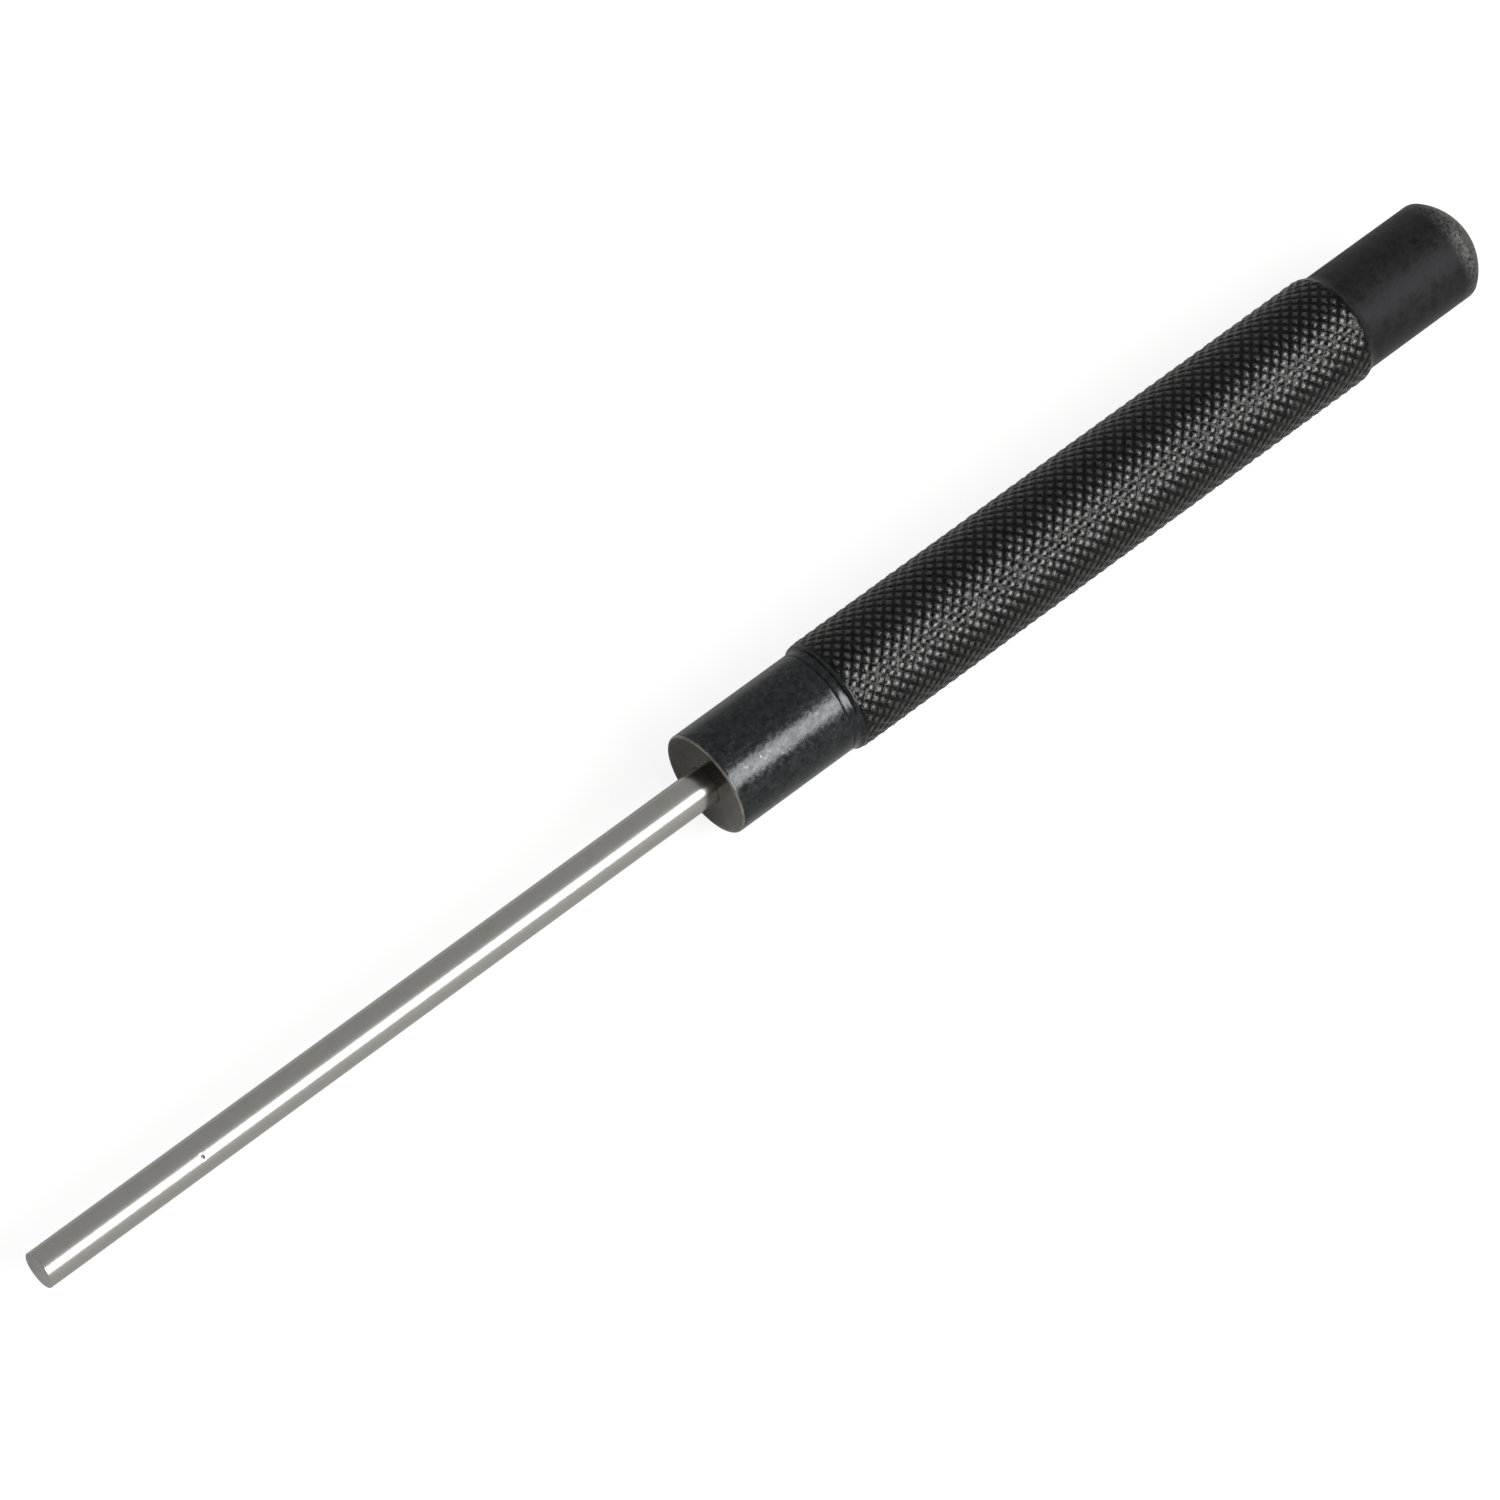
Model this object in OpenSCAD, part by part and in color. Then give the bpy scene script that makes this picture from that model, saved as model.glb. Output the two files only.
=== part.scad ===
// Long-series inserted-pin punch: a knurled steel handle with a ground pin pressed into its nose.
// The punch lies along X. The origin is the centre of the tip's flat face, and the striking head is at +X.

/* [Pin] */
// Diameter of the ground pin
pin_d = 4.9; // [3:0.1:7]
// Length of pin that stands out of the nose
pin_reach = 102.4; // [50:0.1:140]
// Length of pin pressed into the handle
pin_seat = 28; // [12:1:60]
// Chamfer at both ends of the pin
pin_chamfer = 0.1; // [0.05:0.05:0.6]

/* [Handle] */
// Diameter of the bar that the handle is turned from, seen on the plain land in front of the knurl
bar_d = 14.86; // [12:0.02:18]
// Depth turned off the bar for the plain nose
nose_cut = 0.43; // [0.1:0.01:1.5]
// Length of the plain nose, up to the shoulder's fillet
nose_len = 18.53; // [8:0.01:30]
// Edge break around the nose's face
nose_edge = 0.23; // [0.1:0.01:0.8]
// Length of the collar between the fine turned line and the shoulder's fillet
collar_len = 0.68; // [0.3:0.02:3]
// Width of the line that the tool leaves as it stops and starts again on the nose
line_width = 0.2; // [0.1:0.02:0.6]
// Depth of that line
line_depth = 0.07; // [0.02:0.01:0.2]
// Radius of the hollow fillet that rises from the nose to the land
fillet_r = 1; // [0.5:0.05:1.7]
// Length of the plain land
land_len = 0.15; // [0.1:0.05:3]
// Depth turned off the bar for the rear shank
shank_cut = 0.43; // [0.1:0.01:1.5]
// Length of the rear shank, from the end of the knurl to the tip of the head
shank_len = 21; // [12:0.5:40]
// Height of the striking head, from the end of the straight shank to the tip of the dome
head_height = 4.13; // [2.5:0.01:4.4]
// Radius of the rounded corner between the shank and the dome
corner_r = 1.2; // [0.6:0.1:2]

/* [Knurl] */
// Height of the crests above the bar, raised by the knurling wheels
crest_rise = 0.17; // [0.05:0.01:0.4]
// Depth from the crests to the bottom of the grooves
knurl_depth = 0.33; // [0.2:0.01:0.5]
// Length of the full knurl and its run-out together
knurl_len = 86.1; // [40:0.1:86.4]
// Length of the run-out, where the knurl tapers down to the rear shank
runout_len = 2.5; // [1.5:0.1:5]
// Grooves of each hand around the handle
groove_count = 28; // [16:2:28]
// Distance between crests along the handle
knurl_pitch = 1.642; // [1.64:0.002:2.4]

/* [Bore] */
// Radial gap between pin and bore, none on a press fit
bore_gap = 0; // [0:0.005:0.02]
// Lead-in chamfer at the bore's mouth
bore_lead = 0.2; // [0.1:0.05:0.6]
// Angle of the drill's point
drill_angle = 118; // [90:1:150]

/* [Hidden] */

black_oxide = [0.13, 0.13, 0.14];
ground_steel = [0.72, 0.71, 0.69];

round_faces = 128;
dome_steps = 10;
corner_steps = 5;
fillet_steps = 5;
// Overrun of a cut past the face that it opens
cut_over = 1;
// How far the ends of the knurl stay inside the faces that they meet
knurl_tuck = 0.02;
// The core that runs under the knurl, as a share of the radius at the bottom of the grooves
core_share = 0.9;

pin_r = pin_d / 2;
bar_r = bar_d / 2;
nose_r = bar_r - nose_cut;
shank_r = bar_r - shank_cut;
knurl_r = bar_r + crest_rise;
groove_r = knurl_r - knurl_depth;
core_r = min(groove_r, shank_r) * core_share;
bore_r = pin_r + bore_gap;

// The fillet turns until it reaches the bar, or a quarter turn at most on a taller shoulder
fillet_rise = min(nose_cut, fillet_r);
fillet_angle = acos((fillet_r - fillet_rise) / fillet_r);

// Places along the punch, from the tip's face
nose_x = pin_reach;
fillet_x = nose_x + nose_len;
line_x = fillet_x - collar_len - line_width / 2;
land_x = fillet_x + fillet_r * sin(fillet_angle);
knurl_x = land_x + land_len;
shank_x = knurl_x + knurl_len;
head_x = shank_x + shank_len;

// The corner's arc touches the shank and the dome, so the dome's radius and the touching angle follow
corner_y = shank_r - corner_r;
corner_x = head_x - head_height;
dome_r = (pow(corner_y, 2) + pow(head_height, 2) - pow(corner_r, 2)) / (head_height - corner_r) / 2;
dome_x = head_x - dome_r;
touch_angle = atan2(corner_y, corner_x - dome_x);

knurl_rows = 2 * round(knurl_len / knurl_pitch);
knurl_cols = 2 * groove_count;
row_len = knurl_len / knurl_rows;
col_angle = 360 / knurl_cols;

function arc(x, y, r, from, to, steps) =
    [for (i = [0:steps]) let (a = from + (to - from) * i / steps) [x + r * cos(a), y + r * sin(a)]];

// Turns an outline of points (distance along the punch, radius) about the punch's axis
module turned(outline) {
    rotate([0, 90, 0])
        rotate_extrude($fn = round_faces)
            polygon([for (p = outline) [p[1], p[0]]]);
}

// The bar as it leaves the lathe, cut down to a plain core where the knurl goes
module turned_blank() {
    fillet = arc(fillet_x, nose_r + fillet_r, fillet_r, -90, fillet_angle - 90, fillet_steps);
    head = concat(
        arc(corner_x, corner_y, corner_r, 90, touch_angle, corner_steps),
        [for (i = [1:dome_steps - 1]) let (a = touch_angle * (1 - i / dome_steps))
            [dome_x + dome_r * cos(a), dome_r * sin(a)]]
    );
    turned(concat(
        [
            [nose_x, 0],
            [nose_x, nose_r - nose_edge],
            [nose_x + nose_edge, nose_r],
            [line_x - line_width / 2, nose_r],
            [line_x, nose_r - line_depth],
            [line_x + line_width / 2, nose_r]
        ],
        fillet,
        [
            [knurl_x, bar_r],
            [knurl_x, core_r],
            [shank_x, core_r],
            [shank_x, shank_r]
        ],
        head,
        [[head_x, 0]]
    ));
}

// Radius over the crests at a distance from the knurl's front end
function crest_at(s) =
    let (left = max(min((knurl_len - s) / runout_len, 1), 0), end_r = shank_r - knurl_tuck)
    end_r + (knurl_r - end_r) * (1 - cos(180 * left)) / 2;

// Crests and groove bottoms alternate along and around the band, and both ends are plain rings
function knurl_radius(row, col) =
    let (crest = crest_at(row * row_len), bottom = min(groove_r, crest))
    row == 0 ? groove_r : row == knurl_rows ? bottom : (row + col) % 2 == 0 ? crest : bottom;

function knurl_point(row, col) =
    let (r = knurl_radius(row, col), a = col * col_angle)
    [knurl_x + row * row_len, r * sin(a), r * cos(a)];

function knurl_index(row, col) = row * knurl_cols + col % knurl_cols;

// Each field between four points is split along the line that joins its two groove bottoms
function knurl_field(row, col) =
    let (a = knurl_index(row, col), b = knurl_index(row, col + 1))
    let (c = knurl_index(row + 1, col + 1), d = knurl_index(row + 1, col))
    (row + col) % 2 == 0 ? [[a, b, d], [b, c, d]] : [[a, b, c], [a, c, d]];

// The diamond knurl: two crossing families of grooves leave rows of four-sided points
module knurl_band() {
    points = [for (row = [0:knurl_rows]) for (col = [0:knurl_cols - 1]) knurl_point(row, col)];
    sides = [for (row = [0:knurl_rows - 1]) for (col = [0:knurl_cols - 1]) each knurl_field(row, col)];
    front = [for (col = [0:knurl_cols - 1]) knurl_index(0, knurl_cols - 1 - col)];
    rear = [for (col = [0:knurl_cols - 1]) knurl_index(knurl_rows, col)];
    polyhedron(points = points, faces = concat(sides, [front, rear]));
}

// The blind bore that the pin is pressed into, with its lead-in. The pin's back face meets the drill's cone,
// so that blows on the head pass straight to the pin.
module bore() {
    bottom_x = nose_x + pin_seat - (bore_gap + pin_chamfer) / tan(drill_angle / 2);
    point_len = bore_r / tan(drill_angle / 2);
    mouth_r = bore_r + bore_lead + cut_over;
    turned([
        [nose_x - cut_over, 0],
        [nose_x - cut_over, mouth_r],
        [nose_x + bore_lead, bore_r],
        [bottom_x, bore_r],
        [bottom_x + point_len, 0]
    ]);
}

module handle() {
    color(black_oxide)
        difference() {
            union() {
                turned_blank();
                knurl_band();
            }
            bore();
        }
}

module pin() {
    back_x = nose_x + pin_seat;
    color(ground_steel)
        turned([
            [0, 0],
            [0, pin_r - pin_chamfer],
            [pin_chamfer, pin_r],
            [back_x - pin_chamfer, pin_r],
            [back_x, pin_r - pin_chamfer],
            [back_x, 0]
        ]);
}

handle();
pin();
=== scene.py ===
"""Looks of the pin punch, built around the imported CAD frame. Metres, in the frame's own axes."""

import math

import bpy
import numpy as np
from mathutils import Matrix, Vector

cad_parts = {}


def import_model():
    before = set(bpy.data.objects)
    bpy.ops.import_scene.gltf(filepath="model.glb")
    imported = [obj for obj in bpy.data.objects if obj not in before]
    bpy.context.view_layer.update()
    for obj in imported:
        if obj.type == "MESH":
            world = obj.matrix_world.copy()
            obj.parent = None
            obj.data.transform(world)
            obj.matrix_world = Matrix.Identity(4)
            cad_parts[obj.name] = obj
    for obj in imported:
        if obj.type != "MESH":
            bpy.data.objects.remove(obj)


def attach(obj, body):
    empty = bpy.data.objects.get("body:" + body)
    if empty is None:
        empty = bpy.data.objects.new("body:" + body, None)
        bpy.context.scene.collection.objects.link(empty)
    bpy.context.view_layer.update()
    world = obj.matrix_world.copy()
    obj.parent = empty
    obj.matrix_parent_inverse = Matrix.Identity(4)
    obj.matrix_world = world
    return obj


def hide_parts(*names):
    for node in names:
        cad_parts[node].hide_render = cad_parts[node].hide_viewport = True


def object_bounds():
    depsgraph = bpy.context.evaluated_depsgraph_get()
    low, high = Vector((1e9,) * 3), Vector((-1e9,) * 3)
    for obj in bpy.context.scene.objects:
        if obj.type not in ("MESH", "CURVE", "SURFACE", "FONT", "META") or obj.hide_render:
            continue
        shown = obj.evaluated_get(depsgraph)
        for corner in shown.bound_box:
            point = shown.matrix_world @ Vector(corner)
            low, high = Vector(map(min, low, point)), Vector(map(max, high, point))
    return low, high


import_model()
cad_low, cad_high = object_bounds()

MM = 0.001
MICRON = 1e-6
SEED = 41

# Sizes are in millimetres. Stations (X) run along the punch, from the tip's face.
NOSE_X = 102.4
FILLET_X = NOSE_X + 18.53
KNURL_X = NOSE_X + 19.5
KNURL_LEN = 86.1
SHANK_X = KNURL_X + KNURL_LEN
HEAD_X = 229.0

# The pin, and a small nick in its wall
PIN_R = 2.45
PIN_CHAMFER = 0.1
PIN_BACK_X = 130.4
PIN_RINGS = (2.0, PIN_BACK_X - 1.0, 40)       # first and last plain station, and their number
PIN_FRONT_X = 0.5               # a ring that keeps the shading of the wall off the chamfer
TIP_INSET = 0.8                 # how far inside the tip's edge its inner ring lies
NICK_X = 23.36
NICK_TURN = math.radians(-40.1)
NICK_LEN, NICK_WIDTH = 0.17, 0.30
NICK_DEPTH = 0.16
NICK_REACH = 2.0                # nick lengths to each side of it that get rings of their own
NICK_RINGS = 9

# The bore and the turned parts of the handle
BORE_GAP = 0.02
BORE_LEAD = 0.08
BORE_END_X = 130.3
NOSE_R = 7.0
NOSE_EDGE = 0.23
EDGE_BREAK = ((0.06, 0.11), (0.14, 0.04), (NOSE_EDGE, 0.0))   # behind the face, below the wall
FACE_RINGS = (3.2, 4.2, 5.2, 6.2)                             # radii on the nose's face
NOSE_RINGS = (0.6, 3.0, 6.0, 9.0, 12.0, 15.0, 17.4)           # distances behind the face
LINE_X = NOSE_X + 17.75         # the fine line turned into the nose
LINE_HALF = 0.1
LINE_DEPTH = 0.07
BAR_R = 7.43
FILLET_R = 1.0
FILLET_LEAD = 0.2
LAND_LEN = 0.06
SHANK_R = 6.98
SHANK_RINGS = (0.3, 1.0, 4.0, 8.0, 12.0, 15.0)                # distances behind the knurl
CORNER_R = 1.2
DOME_R = 8.4
DOME_END = 2.0                  # degrees from the axis at which the dome's last ring lies
ARC_STEPS = 8
DOME_STEPS = 20

# The knurl
KNURL_R = 7.6
GROOVE_R = 7.40
GROOVE_COUNT = 28
CREST_COUNT = 52
RUNIN_LEN = 0.45                # the teeth rise from the land over this length
RUNOUT_LEN = 2.5
RUNOUT_BARE = 1.2               # the end of the run-out that has no teeth left
GROOVE_HALF = 0.38              # half a groove's width, as a share of the way to the next groove
CROWN = (0.15, 0.20)            # share of a tooth's height in its crowned top, front and rear
CROWN_CHANGE = (0.2, 0.8)       # shares of the knurl's length between which the crown changes
TOOTH_LIFT = 0.04               # spread of the teeth's heights, as a share
TOOTH_TILT = 0.6                # spread of the teeth's tilts, as a share of height over a pitch
TOOTH_SHARE = 0.97              # height of the usual tooth within the envelope
SPARE_ROWS = 4                  # rows of teeth that are drawn beyond the knurl's own

# The mesh: every ring has COLS points, and the knurl has STEPS rows from one crest to the next
STEPS = 12
COLS = GROOVE_COUNT * STEPS // 2
ROWS = CREST_COUNT * STEPS
COLUMNS = np.arange(COLS)
PLAIN_TURNS = COLUMNS / COLS * 2.0 * math.pi                  # angles of a plain ring's points
HANDLE_SHARP, PIN_SHARP = 35, 40              # degrees between faces from which an edge is crisp


def smoothstep(x, low, high):
    t = np.clip((x - low) / (high - low), 0.0, 1.0)
    return t * t * (3.0 - 2.0 * t)


def arc(x, y, r, start, end, steps):
    """Points (station, radius) on a circle, angles in degrees from the punch's axis."""
    angles = np.radians(np.linspace(start, end, steps + 1))
    return [(x + r * math.cos(a), y + r * math.sin(a)) for a in angles]


class Body:
    """A closed body made of rings around the punch's axis, each of COLS points."""

    def __init__(self):
        self.rings, self.faces, self.slots = [], [], []

    def add(self, corners, slot):
        """Adds one face per column; corners are index arrays, counter-clockwise from outside."""
        self.faces += np.stack(corners, axis=-1).tolist()
        self.slots += [slot] * len(corners[0])

    def join(self, row, slot):
        """Quads between a ring and the one before it."""
        here = row * COLS + COLUMNS
        right = np.roll(here, -1)
        self.add((here, right, right - COLS, here - COLS), slot)

    def turned(self, outline, slot):
        """Adds a plain ring for each (station, radius), joined to the ring before it."""
        for station, radius in outline:
            self.rings.append((np.full(COLS, station), np.full(COLS, radius), PLAIN_TURNS))
            if len(self.rings) > 1:
                self.join(len(self.rings) - 1, slot)

    def lattice(self, rings, slots):
        """Adds rings with staggered points: every face is a diamond that spans three rings."""
        first = len(self.rings)
        self.rings += rings
        self.join(first, slots[0])
        for row, slot in enumerate(slots):
            here = (first + row) * COLS + COLUMNS
            left, right = (np.roll(here, 1), here) if row % 2 else (here, np.roll(here, -1))
            before = (first + row - 1) * COLS + COLUMNS
            after = (first + row + 1) * COLS + COLUMNS
            if row == 0:
                self.add((after, right, left), slot)
            elif row == len(rings) - 1:
                self.add((right, before, left), slot)
            else:
                self.add((after, right, before, left), slot)

    def close(self):
        """Fans both ends shut. Returns all points, in millimetres."""
        stations, radii, turns = np.array(self.rings).transpose(1, 0, 2)
        points = np.stack([stations, radii * np.sin(turns), radii * np.cos(turns)], axis=-1)
        points = points.reshape(-1, 3)
        ends = np.array([[stations[0, 0], 0.0, 0.0], [stations[-1, 0], 0.0, 0.0]])
        front, back = len(points), len(points) + 1
        last = len(points) - COLS + COLUMNS
        front_slot, back_slot = self.slots[0], self.slots[-1]
        self.add((COLUMNS, np.roll(COLUMNS, -1), np.full(COLS, front)), front_slot)
        self.add((np.roll(last, -1), last, np.full(COLS, back)), back_slot)
        return np.concatenate([points, ends])

    def finish(self, name, sharp_degrees):
        """Makes the object, crisp where faces meet at more than this angle."""
        points = self.close()
        mesh = bpy.data.meshes.new(name)
        mesh.from_pydata((points * MM).tolist(), [], self.faces)
        mesh.polygons.foreach_set("material_index", self.slots)
        mesh.polygons.foreach_set("use_smooth", [True] * len(self.faces))
        mesh.update()
        sharpen(mesh, sharp_degrees)
        obj = bpy.data.objects.new(name, mesh)
        bpy.context.scene.collection.objects.link(obj)
        return obj


def sharpen(mesh, degrees):
    """Marks the edges whose faces meet at more than this angle, so that they render crisp."""
    def read(items, key, kind, width=1):
        values = np.zeros(len(items) * width, kind)
        items.foreach_get(key, values)
        return values

    normals = read(mesh.polygons, "normal", float, 3).reshape(-1, 3)
    loop_counts = read(mesh.polygons, "loop_total", int)
    face_of_loop = np.repeat(np.arange(len(mesh.polygons)), loop_counts)
    edge_of_loop = read(mesh.loops, "edge_index", int)
    order = np.argsort(edge_of_loop, kind="stable")
    edges, faces = edge_of_loop[order], face_of_loop[order]
    shared = edges[1:] == edges[:-1]
    cosine = np.einsum("ij,ij->i", normals[faces[:-1][shared]], normals[faces[1:][shared]])
    sharp = np.zeros(len(mesh.edges), bool)
    sharp[edges[1:][shared]] = cosine < math.cos(math.radians(degrees))
    layer = mesh.attributes.get("sharp_edge")
    layer = layer or mesh.attributes.new("sharp_edge", "BOOLEAN", "EDGE")
    layer.data.foreach_set("value", sharp)


def tooth_height(p, q, crown):
    """Height of a tooth between its grooves, 0 to 1. p and q are whole numbers in the grooves.

    The grooves are rounded at the bottom, and a tooth's small top is a little crowned.
    """
    folds = [np.abs(t - np.round(t)) for t in (p, q)]
    rise = smoothstep(np.minimum(*folds), 0.0, GROOVE_HALF)
    across = [np.clip((f - GROOVE_HALF) / (0.5 - GROOVE_HALF), 0.0, 1.0) for f in folds]
    dome = np.sin(math.pi / 2.0 * across[0]) * np.sin(math.pi / 2.0 * across[1])
    return rise * (1.0 - crown) + dome * crown


def crest_limit(along):
    """Radius of the envelope that the teeth stay inside, at a distance from the knurl's front."""
    left = np.clip((KNURL_LEN - along) / RUNOUT_LEN, 0.0, 1.0)
    rear = SHANK_R + (KNURL_R - SHANK_R) * (1.0 - np.cos(math.pi * left)) / 2.0
    front = BAR_R + (KNURL_R - BAR_R) * smoothstep(along, 0.0, RUNIN_LEN)
    return np.minimum(rear, front)


def knurl_rings():
    """Rings (stations, radii, turns) of the diamond knurl, on a lattice that follows its grooves.

    Even rows have the even steps around the punch, odd rows the odd ones. p counts the grooves of
    one hand, q those of the other.
    """
    row, column = np.meshgrid(np.arange(ROWS + 1), COLUMNS, indexing="ij")
    step = 2 * column + row % 2
    p = (row + step) / STEPS + 0.5
    q = (row - step) / STEPS + 0.5
    along = row / STEPS * KNURL_LEN / CREST_COUNT
    turn = step / STEPS * (2.0 * math.pi / GROOVE_COUNT)
    crown = CROWN[0] + (CROWN[1] - CROWN[0]) * smoothstep(row / ROWS, *CROWN_CHANGE)
    height = tooth_height(p, q, crown)
    # Each tooth has its own place in three tables, and differs a little in height and tilt
    rng = np.random.RandomState(SEED)
    rows, columns = CREST_COUNT * 2 + SPARE_ROWS, GROOVE_COUNT * 2
    lift, tilt_along, tilt_around = rng.normal(0.0, 1.0, (3, rows, columns))
    tooth_p, tooth_q = np.floor(p).astype(int), np.floor(q).astype(int)
    tooth = np.clip(tooth_p + tooth_q, 0, rows - 1), (tooth_p - tooth_q) % columns
    in_p, in_q = p - tooth_p - 0.5, q - tooth_q - 0.5
    slope = (tilt_along[tooth] * (in_p + in_q) + tilt_around[tooth] * (in_p - in_q)) / 2.0
    change = 1.0 + TOOTH_LIFT * lift[tooth] + slope * TOOTH_TILT
    shaped = np.clip(height * change * TOOTH_SHARE, 0.0, 1.0)
    radius = np.minimum(GROOVE_R + (KNURL_R - GROOVE_R) * shaped, crest_limit(along))
    return list(zip(along + KNURL_X, radius, turn))


# Material slots of the handle and of the pin
OXIDE, FACE, EDGE, KNURL, REAR = range(5)
GROUND, TIP = range(2)


def handle_piece():
    """The handle, from the bottom of its bore out to the nose and back along it to the dome."""
    body = Body()
    bore_r = PIN_R + BORE_GAP
    # The bore, its lead-in, the ground face of the nose and the edge break, worn bright
    body.turned([(BORE_END_X, bore_r), (NOSE_X + BORE_LEAD, bore_r)], OXIDE)
    body.turned([(NOSE_X, bore_r + BORE_LEAD)], FACE)
    body.turned([(NOSE_X, r) for r in (*FACE_RINGS, NOSE_R - NOSE_EDGE)], FACE)
    body.turned([(NOSE_X + behind, NOSE_R - below) for behind, below in EDGE_BREAK], EDGE)
    # The plain nose with its fine line, the fillet and the land
    body.turned([(NOSE_X + d, NOSE_R) for d in NOSE_RINGS], OXIDE)
    body.turned([
        (LINE_X - LINE_HALF, NOSE_R),
        (LINE_X, NOSE_R - LINE_DEPTH),
        (LINE_X + LINE_HALF, NOSE_R),
        (FILLET_X - FILLET_LEAD, NOSE_R),
    ], OXIDE)
    rise = math.degrees(math.acos((FILLET_R - BAR_R + NOSE_R) / FILLET_R))
    fillet = arc(FILLET_X, NOSE_R + FILLET_R, FILLET_R, -90, rise - 90, ARC_STEPS)
    body.turned(fillet + [(fillet[-1][0] + LAND_LEN, BAR_R)], OXIDE)
    # The knurl; the bare end of its run-out is as dull as the shank
    bare_row = ROWS * (1.0 - RUNOUT_BARE / KNURL_LEN)
    knurl_slots = [REAR if row > bare_row else KNURL for row in range(ROWS + 1)]
    body.lattice(knurl_rings(), knurl_slots)
    # The rear shank, its rounded corner and the dome
    corner_y = SHANK_R - CORNER_R
    dome_x = HEAD_X - DOME_R
    dome_back = math.sqrt((DOME_R - CORNER_R) ** 2 - corner_y ** 2)
    touch = math.degrees(math.atan2(corner_y, dome_back))
    body.turned([(SHANK_X + d, SHANK_R) for d in SHANK_RINGS], REAR)
    body.turned(arc(dome_x + dome_back, corner_y, CORNER_R, 90, touch, ARC_STEPS), REAR)
    body.turned(arc(dome_x, 0.0, DOME_R, touch, DOME_END, DOME_STEPS)[1:], REAR)
    return body.finish("handle_visual", HANDLE_SHARP)


def pin_piece():
    """The pin with its chamfered ends, and the nick pressed into the finished rings."""
    body = Body()
    face_r = PIN_R - PIN_CHAMFER
    body.turned([(0.0, face_r - TIP_INSET), (0.0, face_r)], TIP)
    body.turned([(PIN_CHAMFER, PIN_R), (PIN_FRONT_X, PIN_R)], GROUND)
    around_nick = NICK_X + NICK_LEN * np.linspace(-NICK_REACH, NICK_REACH, NICK_RINGS)
    stations = sorted([*np.linspace(*PIN_RINGS), *around_nick])
    body.turned([(x, PIN_R) for x in stations], GROUND)
    body.turned([(PIN_BACK_X - PIN_CHAMFER, PIN_R), (PIN_BACK_X, face_r)], GROUND)
    for station, radius, turn in body.rings:
        along = (station - NICK_X) / NICK_LEN
        across = PIN_R * 2.0 * np.sin((turn - NICK_TURN) / 2.0) / NICK_WIDTH
        radius -= NICK_DEPTH * np.exp(-along ** 2 - across ** 2)
    return body.finish("pin_visual", PIN_SHARP)


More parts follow.
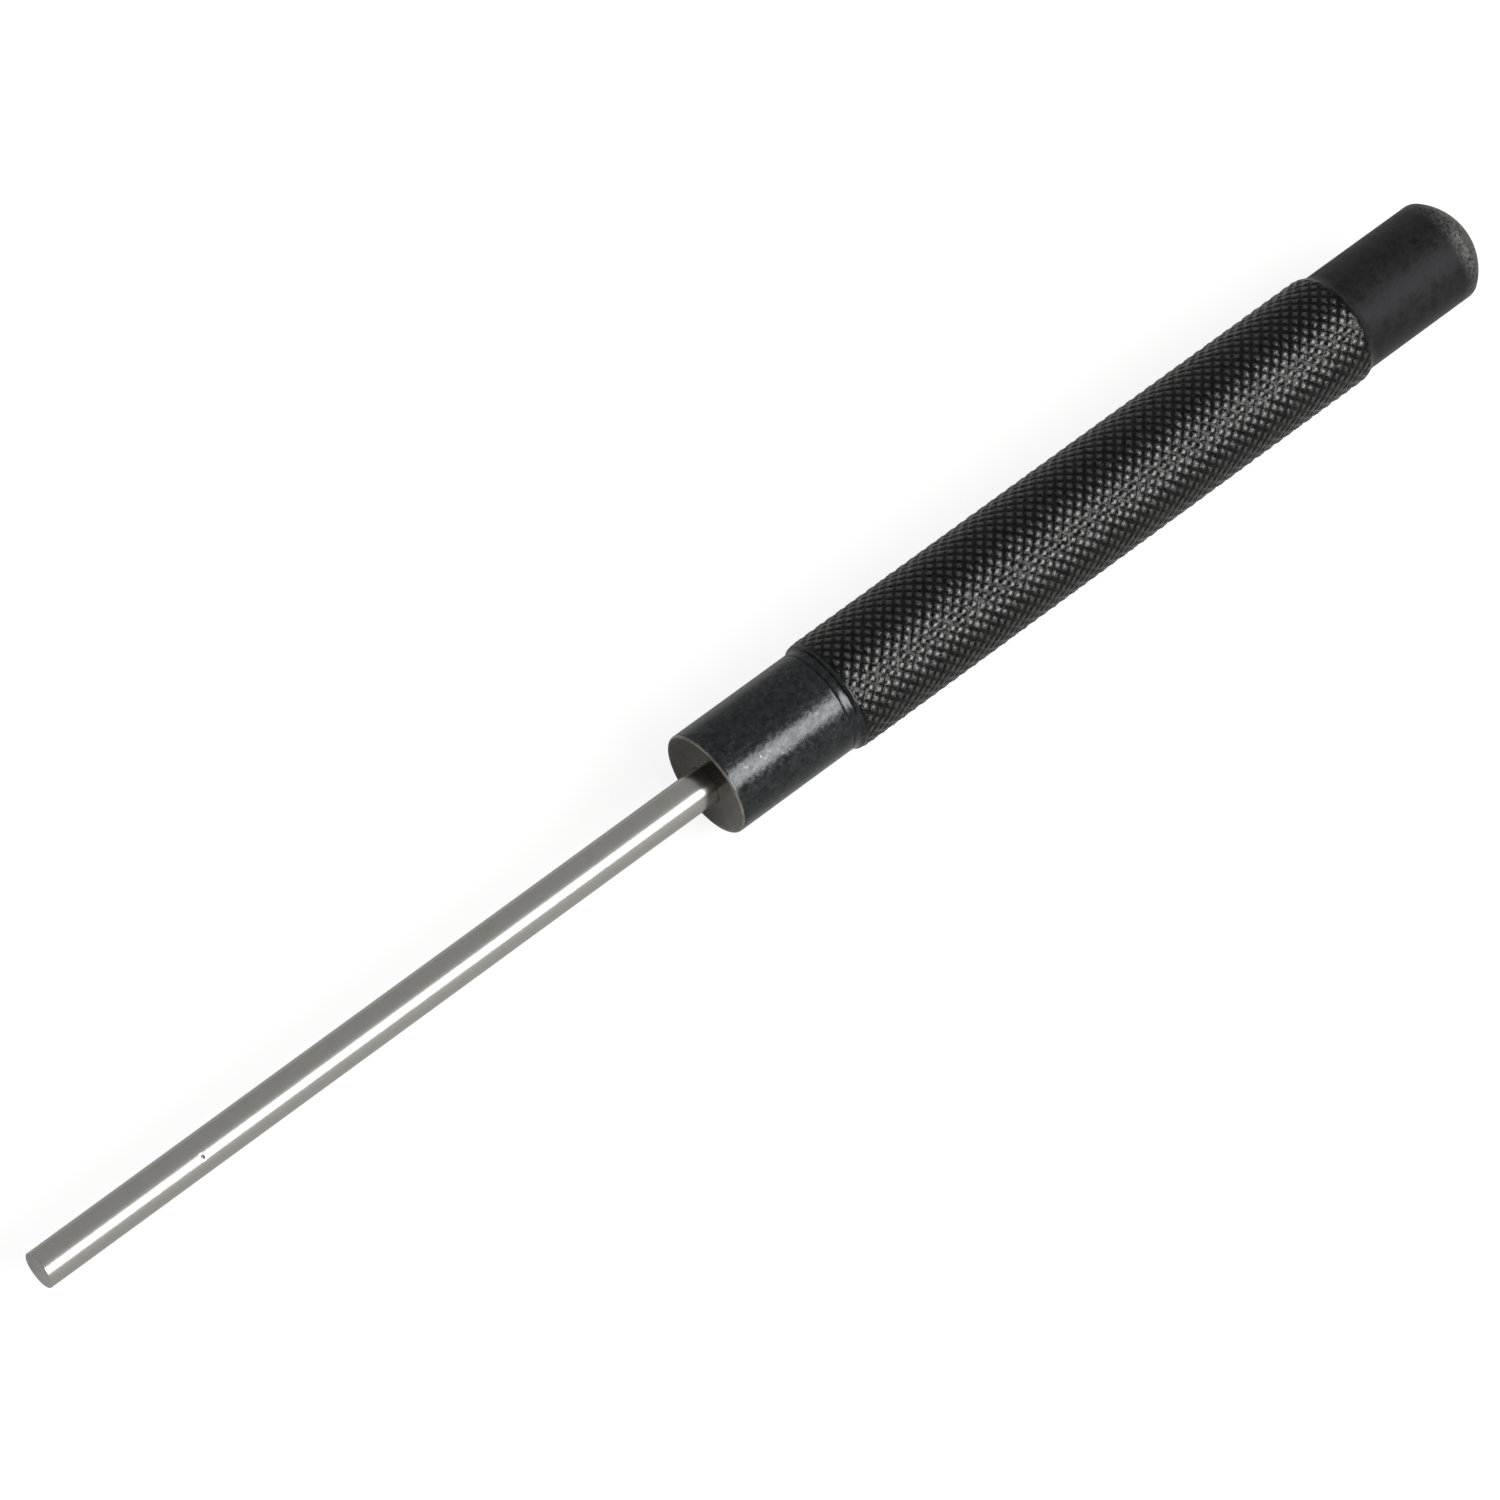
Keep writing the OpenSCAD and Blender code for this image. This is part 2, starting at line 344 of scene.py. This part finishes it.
class Nodes:
    """Short names for the node calls that every material here uses."""

    def __init__(self, owner, output="ShaderNodeOutputMaterial"):
        owner.use_nodes = True
        self.owner = owner
        self.tree = owner.node_tree
        self.tree.nodes.clear()
        self.output = self.tree.nodes.new(output)

    def new(self, kind, **settings):
        node = self.tree.nodes.new(kind)
        for key, value in settings.items():
            setattr(node, key, value)
        return node

    def link(self, source, target):
        self.tree.links.new(source, target)

    def place(self, scale):
        """Object position times a scale per axis."""
        coords = self.new("ShaderNodeTexCoord")
        mapping = self.new("ShaderNodeMapping")
        mapping.inputs["Scale"].default_value = scale
        self.link(coords.outputs["Object"], mapping.inputs["Vector"])
        return mapping.outputs["Vector"]

    def noise(self, scale, detail=4.0, rough=0.55):
        node = self.new("ShaderNodeTexNoise")
        node.inputs["Scale"].default_value = 1.0
        node.inputs["Detail"].default_value = detail
        node.inputs["Roughness"].default_value = rough
        self.link(self.place(scale), node.inputs["Vector"])
        return node.outputs["Fac"]

    def remap(self, value, low, high, to_low=0.0, to_high=1.0):
        node = self.new("ShaderNodeMapRange")
        node.inputs["From Min"].default_value = low
        node.inputs["From Max"].default_value = high
        node.inputs["To Min"].default_value = to_low
        node.inputs["To Max"].default_value = to_high
        self.link(value, node.inputs["Value"])
        return node.outputs["Result"]

    def math(self, operation, *values):
        """A sum on numbers or sockets."""
        node = self.new("ShaderNodeMath", operation=operation)
        for socket, value in zip(node.inputs, values):
            if isinstance(value, (int, float)):
                socket.default_value = value
            else:
                self.link(value, socket)
        return node.outputs["Value"]

    def mean(self, a, b, share=0.5):
        """Weighted mean; share is the weight of a."""
        part_a = self.math("MULTIPLY", a, share)
        part_b = self.math("MULTIPLY", b, 1.0 - share)
        return self.math("ADD", part_a, part_b)

    def blend(self, factor, a, b):
        """Mixes two colours; each is a tuple or a socket."""
        node = self.new("ShaderNodeMix", data_type="RGBA")
        self.link(factor, node.inputs["Factor"])
        for key, value in (("A", a), ("B", b)):
            socket = [s for s in node.inputs if s.name == key and s.type == "RGBA"][0]
            if isinstance(value, tuple):
                socket.default_value = (*value, 1.0)
            else:
                self.link(value, socket)
        return [s for s in node.outputs if s.type == "RGBA"][0]

    def bump(self, height, distance):
        node = self.new("ShaderNodeBump")
        node.inputs["Distance"].default_value = distance
        self.link(height, node.inputs["Height"])
        return node.outputs["Normal"]

    def metal(self, color, roughness, normal, anisotropic=0.0, sheen=None):
        shader = self.new("ShaderNodeBsdfPrincipled")
        shader.inputs["Metallic"].default_value = 1.0
        shader.inputs["Anisotropic"].default_value = anisotropic
        if sheen:
            shader.inputs["Sheen Weight"].default_value = SHEEN_WEIGHT
            shader.inputs["Sheen Roughness"].default_value = SHEEN_ROUGH
            shader.inputs["Sheen Tint"].default_value = (*sheen, 1.0)
        self.link(color, shader.inputs["Base Color"])
        self.link(roughness, shader.inputs["Roughness"])
        self.link(normal, shader.inputs["Normal"])
        if anisotropic:
            tangent = self.new("ShaderNodeTangent", direction_type="RADIAL", axis="X")
            self.link(tangent.outputs["Tangent"], shader.inputs["Tangent"])
        self.link(shader.outputs["BSDF"], self.output.inputs["Surface"])
        return self.owner


def per_mm(along, across=None):
    """Noise cells per millimetre along the punch and across it, as a scale for metres."""
    across = along if across is None else across
    return (along / MM, across / MM, across / MM)


# Noise values between which colour, gloss, scuffs, specks and marks go from none to full
COLOR_SPAN = (0.38, 0.64)
GLOSS_SPAN = (0.38, 0.66)
PATCH_SPAN, SPECK_SPAN = (0.44, 0.58), (0.56, 0.68)
CORNER_SPAN = (0.36, 0.66)
STEEL_SPAN, MARK_SPAN = (0.35, 0.65), (0.3, 0.7)

# Noise cells per millimetre, and shares of one noise in the mean of two
PATCH_CELLS, SPECK_CELLS = (0.2, 0.3), 1.6
CORNER_CELLS = 2.4
TURNING_CELLS = (7.0, 0.15)
STEEL_CELLS = 0.4
CLOUD_SHARE = 0.6
TURNING_SHARE = 0.15

CREST_WORN = (7.50, 7.62)       # radii in mm where wear begins and where it is full
CREST_UNEVEN = 0.08             # mm of radius that the grain adds to that
CREST_DULL = 0.20               # roughness that full wear adds
CORNER_WORN = (HEAD_X - 5.7, HEAD_X - 3.9)    # stations between which the wear sets in
SHEEN_WEIGHT = 0.10
SHEEN_ROUGH = 0.52


def oxide(name, dark, light, rough, cloud, grain, grain_um, scuff=None, crest=None, corner=None,
          sheen=None):
    """Black oxide over turned steel: clouds and a fine grain, in colour and gloss.

    rough is (least, most). cloud and grain are noise cells per mm, grain_um the grain's height.
    scuff is the colour of worn patches, crest that of the knurl's worn crests and corner that of
    the head's worn corner. sheen tints the dry film that lightens the rear at low angles.
    """
    n = Nodes(bpy.data.materials.new(name))
    grains = n.noise(per_mm(grain), detail=2.0, rough=0.5)
    both = n.mean(n.noise(per_mm(cloud), detail=5.0, rough=0.6), grains, CLOUD_SHARE)
    color = n.blend(n.remap(both, *COLOR_SPAN), dark, light)
    gloss = n.remap(both, *GLOSS_SPAN, *rough)
    if scuff:
        patch = n.remap(n.noise(per_mm(*PATCH_CELLS), detail=3.0), *PATCH_SPAN)
        speck = n.remap(n.noise(per_mm(SPECK_CELLS), detail=4.0, rough=0.6), *SPECK_SPAN)
        color = n.blend(n.math("MULTIPLY", patch, speck), color, scuff)
    if crest:
        radius = n.new("ShaderNodeVectorMath", operation="LENGTH")
        n.link(n.place(per_mm(0.0, 1.0)), radius.inputs[0])
        uneven = n.math("MULTIPLY", grains, CREST_UNEVEN)
        wear = n.remap(n.math("ADD", radius.outputs["Value"], uneven), *CREST_WORN)
        color = n.blend(wear, color, crest)
        gloss = n.math("ADD", gloss, n.math("MULTIPLY", wear, CREST_DULL))
    if corner:
        station = n.new("ShaderNodeSeparateXYZ")
        n.link(n.place(per_mm(1.0)), station.inputs["Vector"])
        worn = n.remap(station.outputs["X"], *CORNER_WORN)
        specks = n.remap(n.noise(per_mm(CORNER_CELLS), detail=4.0, rough=0.65), *CORNER_SPAN)
        color = n.blend(n.math("MULTIPLY", worn, specks), color, corner)
    turning = n.noise(per_mm(*TURNING_CELLS), detail=2.0)
    normal = n.bump(n.mean(turning, grains, TURNING_SHARE), grain_um * MICRON)
    return n.metal(color, gloss, normal, sheen=sheen)


def ground_steel(name, dark, light, rough, marks, marks_um, anisotropic=0.0):
    """Bright ground steel: fine marks, and a little change of colour and gloss along with them.

    rough is (least, most). marks is noise cells per mm along and across, marks_um their height.
    """
    n = Nodes(bpy.data.materials.new(name))
    lines = n.noise(per_mm(*marks), detail=3.0, rough=0.7)
    both = n.mean(lines, n.noise(per_mm(STEEL_CELLS), detail=4.0))
    color = n.blend(n.remap(both, *STEEL_SPAN), dark, light)
    gloss = n.remap(lines, *MARK_SPAN, *rough)
    return n.metal(color, gloss, n.bump(lines, marks_um * MICRON), anisotropic)


handle_materials = (
    oxide("nose_oxide", (0.0405, 0.0425, 0.0440), (0.070, 0.0735, 0.0760), (0.19, 0.29),
          cloud=0.9, grain=1.8, grain_um=24.0, scuff=(0.115, 0.115, 0.112)),
    ground_steel("nose_face_steel", (0.12, 0.108, 0.088), (0.19, 0.175, 0.15), (0.10, 0.18),
                 marks=(1.0, 2.5), marks_um=0.8),
    ground_steel("worn_edge_steel", (0.16, 0.16, 0.155), (0.42, 0.42, 0.40), (0.25, 0.40),
                 marks=(1.5, 1.5), marks_um=1.0),
    oxide("knurl_oxide", (0.0137, 0.0137, 0.0135), (0.037, 0.037, 0.0366), (0.11, 0.23),
          cloud=0.9, grain=3.6, grain_um=80.0, crest=(0.112, 0.112, 0.111)),
    oxide("rear_oxide", (0.0150, 0.0150, 0.0162), (0.036, 0.0356, 0.0374), (0.52, 0.72),
          cloud=0.55, grain=1.6, grain_um=40.0, corner=(0.175, 0.172, 0.166),
          sheen=(0.95, 0.95, 0.92)),
)
pin_materials = (
    ground_steel("pin_ground_steel", (0.475, 0.470, 0.434), (0.505, 0.50, 0.465), (0.222, 0.228),
                 marks=(9.0, 0.5), marks_um=0.03, anisotropic=0.5),
    ground_steel("pin_tip_steel", (0.40, 0.385, 0.36), (0.52, 0.50, 0.47), (0.25, 0.36),
                 marks=(2.0, 4.0), marks_um=1.0),
)


def dress(obj, node, materials):
    """Gives a piece its materials, hides the CAD node that it stands for, and hangs it on the body
    that carries it.
    """
    for material in materials:
        obj.data.materials.append(material)
    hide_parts(node)
    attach(obj, "root")


dress(handle_piece(), "handle", handle_materials)
dress(pin_piece(), "pin", pin_materials)

# Floor, world and lamp. Sizes and places are in metres from here on.
FLOOR_SIZE = 8.0
FLOOR_GLOW = 0.84
FLOOR_CELLS = (40.0, 40.0, 40.0)              # noise cells per metre
FLOOR_SHADES = ((0.30, 0.30, 0.296), (0.315, 0.315, 0.311))
FLOOR_SHADES_IN_METAL = ((0.64, 0.64, 0.632), (0.66, 0.66, 0.652))
WORLD_GREY = (0.40, 0.40, 0.40)
WORLD_DARK = (0.05, 0.048, 0.044)
WORLD_WHITE = (1.0, 1.0, 1.0, 1.0)
BAND_X = -0.38                  # direction of the room's dark band along X
BAND_HALF = (0.12, 0.25)        # how far from it the room is still dark, and where it is grey again
BOX_DIRECTION = (0.3725, -0.7263, 0.5777)
BOX_DISTANCE = 1.1
BOX_SIZE = (1.3, 0.57)
BOX_RADIANCE = 6.2


def floor_piece(height):
    """White paper that glows for camera rays.

    The metal mirrors it as lit by the lamp, with the punch's own shade on it.
    """
    half = FLOOR_SIZE / 2
    mesh = bpy.data.meshes.new("floor")
    corners = [(x * half, y * half, height) for x, y in ((-1, -1), (1, -1), (1, 1), (-1, 1))]
    mesh.from_pydata(corners, [], [(0, 1, 2, 3)])
    obj = bpy.data.objects.new("floor", mesh)
    bpy.context.scene.collection.objects.link(obj)
    n = Nodes(bpy.data.materials.new("white_floor"))
    path = n.new("ShaderNodeLightPath").outputs
    mirrored = n.math("MAXIMUM", path["Is Glossy Ray"], path["Is Transmission Ray"])
    cloud = n.noise(FLOOR_CELLS)
    seen, in_metal = n.blend(cloud, *FLOOR_SHADES), n.blend(cloud, *FLOOR_SHADES_IN_METAL)
    diffuse = n.new("ShaderNodeBsdfDiffuse")
    n.link(n.blend(mirrored, seen, in_metal), diffuse.inputs["Color"])
    glow = n.new("ShaderNodeEmission")
    n.link(n.math("MULTIPLY", path["Is Camera Ray"], FLOOR_GLOW), glow.inputs["Strength"])
    total = n.new("ShaderNodeAddShader")
    n.link(diffuse.outputs["BSDF"], total.inputs[0])
    n.link(glow.outputs["Emission"], total.inputs[1])
    n.link(total.outputs["Shader"], n.output.inputs["Surface"])
    mesh.materials.append(n.owner)


def world():
    """Grey room with a dark band on the tip's side, and white where the camera sees it."""
    scene = bpy.context.scene
    scene.world = bpy.data.worlds.new("studio")
    n = Nodes(scene.world, "ShaderNodeOutputWorld")
    room = n.new("ShaderNodeBackground")
    white = n.new("ShaderNodeBackground")
    white.inputs["Color"].default_value = WORLD_WHITE
    direction = n.new("ShaderNodeSeparateXYZ")
    n.link(n.new("ShaderNodeTexCoord").outputs["Generated"], direction.inputs["Vector"])
    from_band = n.math("ABSOLUTE", n.math("SUBTRACT", direction.outputs["X"], BAND_X))
    shade = n.blend(n.remap(from_band, *BAND_HALF), WORLD_DARK, WORLD_GREY)
    n.link(shade, room.inputs["Color"])
    mixer = n.new("ShaderNodeMixShader")
    n.link(n.new("ShaderNodeLightPath").outputs["Is Camera Ray"], mixer.inputs["Fac"])
    n.link(room.outputs["Background"], mixer.inputs[1])
    n.link(white.outputs["Background"], mixer.inputs[2])
    n.link(mixer.outputs["Shader"], n.output.inputs["Surface"])


def softbox(name, target, direction, distance, size, radiance):
    """A plain rectangular lamp that faces the target. Its radiance is set, not its watts."""
    width, height = size
    lamp = bpy.data.lights.new(name, "AREA")
    lamp.shape = "RECTANGLE"
    lamp.size, lamp.size_y = width, height
    lamp.energy = radiance * math.pi * width * height
    obj = bpy.data.objects.new(name, lamp)
    bpy.context.scene.collection.objects.link(obj)
    away = Vector(direction).normalized()
    obj.location = Vector(target) + away * distance
    obj.rotation_euler = away.to_track_quat("Z", "Y").to_euler()


floor_piece(cad_low.z)
world()
middle = Vector((HEAD_X / 2 * MM, 0.0, 0.0))
softbox("key_softbox", middle, BOX_DIRECTION, BOX_DISTANCE, BOX_SIZE, BOX_RADIANCE)

# The camera, fitted to the photograph
FRAME_PIXELS = 1500
FOCAL_PIXELS = 7948.0
SENSOR_MM = 36.0
CLIP_START, CLIP_END = 0.05, 50.0
CAMERA_AZIMUTH = math.radians(-41.41)
CAMERA_ELEVATION = math.radians(55.72)
NOSE_IN_VIEW = Vector((-5.395, 4.225, 956.1)) * MM       # right, down, forward


def fitted_camera():
    """A camera that looks down at the punch and sees the middle of the nose's face at its place."""
    sin_a, cos_a = math.sin(CAMERA_AZIMUTH), math.cos(CAMERA_AZIMUTH)
    sin_e, cos_e = math.sin(CAMERA_ELEVATION), math.cos(CAMERA_ELEVATION)
    right = Vector((cos_a, sin_a, 0.0))
    level = Vector((-sin_a, cos_a, 0.0))
    up_z = Vector((0.0, 0.0, 1.0))
    forward = level * cos_e - up_z * sin_e
    up = level * sin_e + up_z * cos_e
    nose_centre = Vector((NOSE_X * MM, 0.0, 0.0))
    offset = right * NOSE_IN_VIEW.x - up * NOSE_IN_VIEW.y + forward * NOSE_IN_VIEW.z

    data = bpy.data.cameras.new("camera")
    data.sensor_width = SENSOR_MM
    data.lens = SENSOR_MM * FOCAL_PIXELS / FRAME_PIXELS
    data.clip_start, data.clip_end = CLIP_START, CLIP_END
    camera = bpy.data.objects.new("camera", data)
    bpy.context.scene.collection.objects.link(camera)
    turn = Matrix((right, up, -forward)).transposed().to_4x4()
    camera.matrix_world = Matrix.Translation(nose_centre - offset) @ turn
    return camera


bpy.context.scene.camera = fitted_camera()
bpy.context.scene.view_settings.view_transform = "Standard"
